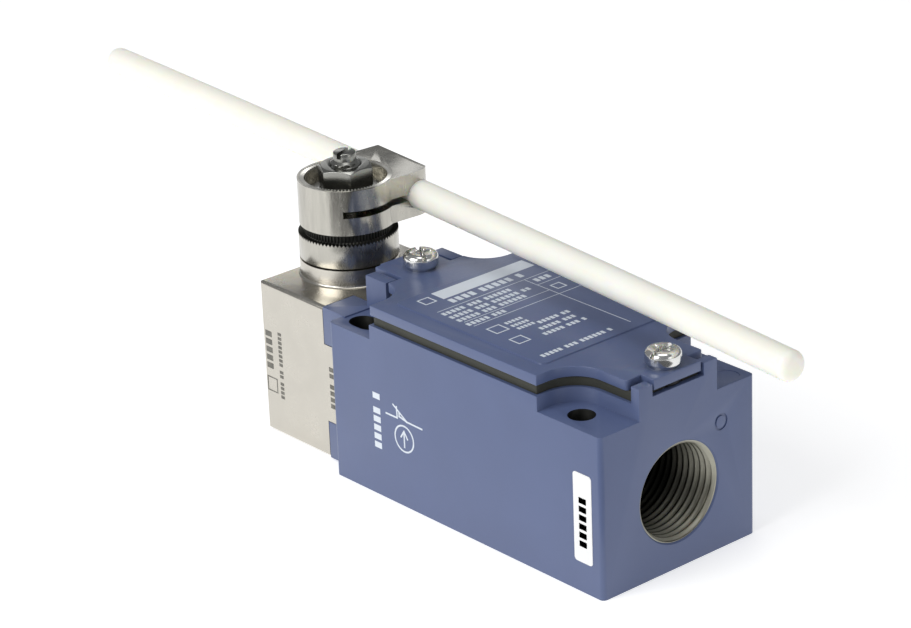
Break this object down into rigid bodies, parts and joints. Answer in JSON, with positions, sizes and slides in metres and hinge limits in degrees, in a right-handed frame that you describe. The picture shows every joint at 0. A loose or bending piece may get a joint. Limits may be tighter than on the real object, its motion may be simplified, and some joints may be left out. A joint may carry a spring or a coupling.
{
  "type": "limit switch",
  "caption": "Metal-bodied limit switch with a rotary head and a long plastic rod lever that turns both ways and moves a plunger and a contact carrier.",
  "frame": {"origin": "centre of the four-hole fixing pattern, on the mounting face of the body", "axes": "+Z out of the mounting face towards the cover and along the lever shaft; +Y from the cable entry towards the head; +X to the right, seen from the cover with the head at the top"},
  "size_m": [0.0436, 0.228, 0.0587],
  "materials": {
    "blue_paint": "semi-gloss stoved paint with a fine orange peel",
    "olive_rubber": "matt moulded rubber",
    "black_rubber": "matt moulded rubber",
    "plated_steel": "bright zinc plating",
    "satin_nickel": "satin nickel plating on a zinc casting",
    "cast_zinc": "tumbled and plated zinc casting",
    "dark_steel": "darkened steel",
    "spring_steel": "drawn wire",
    "bronze": "sintered bronze",
    "contact_brass": "stamped brass",
    "copper_alloy": "stamped copper alloy",
    "natural_polyamide": "translucent natural polyamide, satin",
    "white_plastic": "moulded acetal",
    "black_plastic": "moulded thermoset",
    "grey_plastic": "moulded plastic",
    "red_plastic": "moulded plastic",
    "white_label": "blank satin film"
  },
  "bodies": {
    "body": {"housing": "blue_paint", "cover": "blue_paint", "cover_gasket": "olive_rubber", "cover_screws": "plated_steel", "screw_retainers": "black_rubber", "head": "satin_nickel", "head_gasket": "black_rubber", "head_screws": "plated_steel", "upper_bushing": "bronze", "lower_bushing": "bronze", "shaft_seal": "black_rubber", "plunger_spring": "spring_steel", "plunger_guide": "black_plastic", "contact_base": "black_plastic", "contact_lid": "grey_plastic", "carrier_spring": "spring_steel", "fixed_contacts_closed": "contact_brass", "fixed_contacts_open": "contact_brass", "terminal_screws": "plated_steel", "terminal_clamps": "plated_steel", "block_screws": "plated_steel", "earth_screw": "contact_brass", "earth_clamp": "contact_brass", "side_label": "white_label"},
    "lever": {"shaft": "dark_steel", "shaft_clip": "dark_steel", "cam": "dark_steel", "serrated_collar": "cast_zinc", "lever_hub": "cast_zinc", "lever_rod": "natural_polyamide", "clamp_washer": "plated_steel", "clamp_nut": "dark_steel"},
    "plunger": {"plunger": "white_plastic"},
    "contact_carrier": {"contact_carrier": "red_plastic", "moving_contacts": "copper_alloy", "contact_springs": "spring_steel"}
  },
  "joints": [
    {"name": "lever_turn", "type": "hinge", "parent": "body", "child": "lever", "pos_m": [0, 0.05415, 0], "axis": [0, 0, 1], "range_deg": [-75, 75], "stiffness_Nm_per_rad": 0.12},
    {"name": "plunger_slide", "type": "slide", "parent": "body", "child": "plunger", "axis": [0, -1, 0], "range_m": [0, 0.0027], "stiffness_N_per_m": 900, "springref_m": -0.002, "deforming": ["plunger_spring"]},
    {"name": "carrier_slide", "type": "slide", "parent": "body", "child": "contact_carrier", "axis": [0, -1, 0], "range_m": [0, 0.0027], "deforming": ["carrier_spring"]}
  ],
  "couplings": [
    {"joint": "carrier_slide", "follows": "plunger_slide", "ratio": 1}
  ]
}
